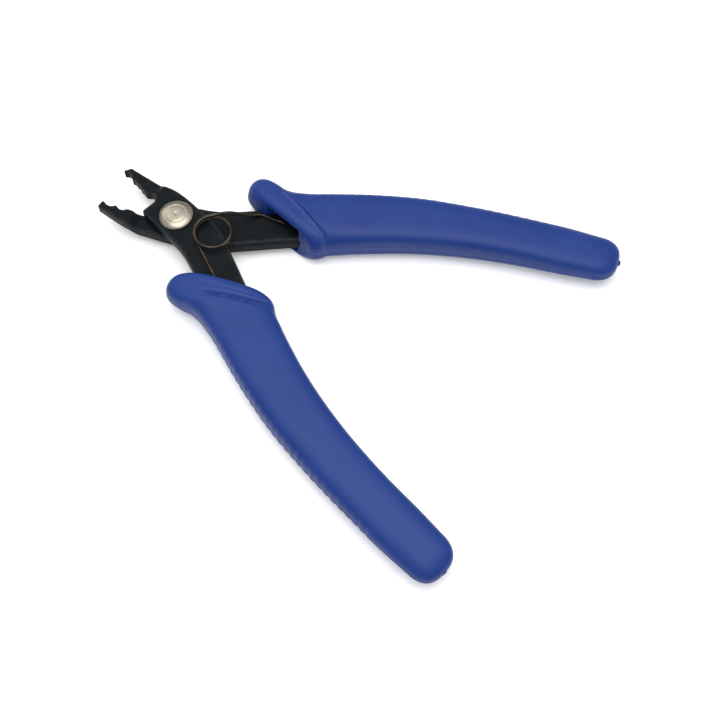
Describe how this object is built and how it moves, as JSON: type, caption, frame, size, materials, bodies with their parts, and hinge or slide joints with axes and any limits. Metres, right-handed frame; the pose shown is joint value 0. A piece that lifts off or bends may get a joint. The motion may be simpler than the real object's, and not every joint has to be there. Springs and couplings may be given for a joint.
{
  "type": "notched-jaw hand pliers",
  "caption": "Small hand pliers for stripping and crimping fine wire: lapped steel halves with notched jaws on a rivet, an opening spring and moulded grips.",
  "frame": {"origin": "on the pivot axis, at the centre of the rivet's flat foot on the underside", "axes": "+Z along the pivot axis from the rivet's foot to its head; +X from the pivot towards the handle ends, along the line halving the angle between the handles"},
  "size_m": [0.1218, 0.0994, 0.0098],
  "materials": {
    "blackened_steel": "blackened, satin",
    "nickel": "nickel plated, bright",
    "spring_steel": "dark spring wire",
    "blue_plastic": "satin moulded vinyl"
  },
  "bodies": {
    "lower_side": {"lower_half": "blackened_steel", "lower_grip": "blue_plastic", "pivot_rivet": "nickel", "return_spring": "spring_steel"},
    "upper_side": {"upper_half": "blackened_steel", "upper_grip": "blue_plastic"}
  },
  "joints": [
    {"name": "pivot", "type": "hinge", "parent": "lower_side", "child": "upper_side", "pos_m": [0, 0, 0], "axis": [0, 0, 1], "range_deg": [0, 27], "stiffness_Nm_per_rad": 0.085, "deforming": ["return_spring"]}
  ]
}
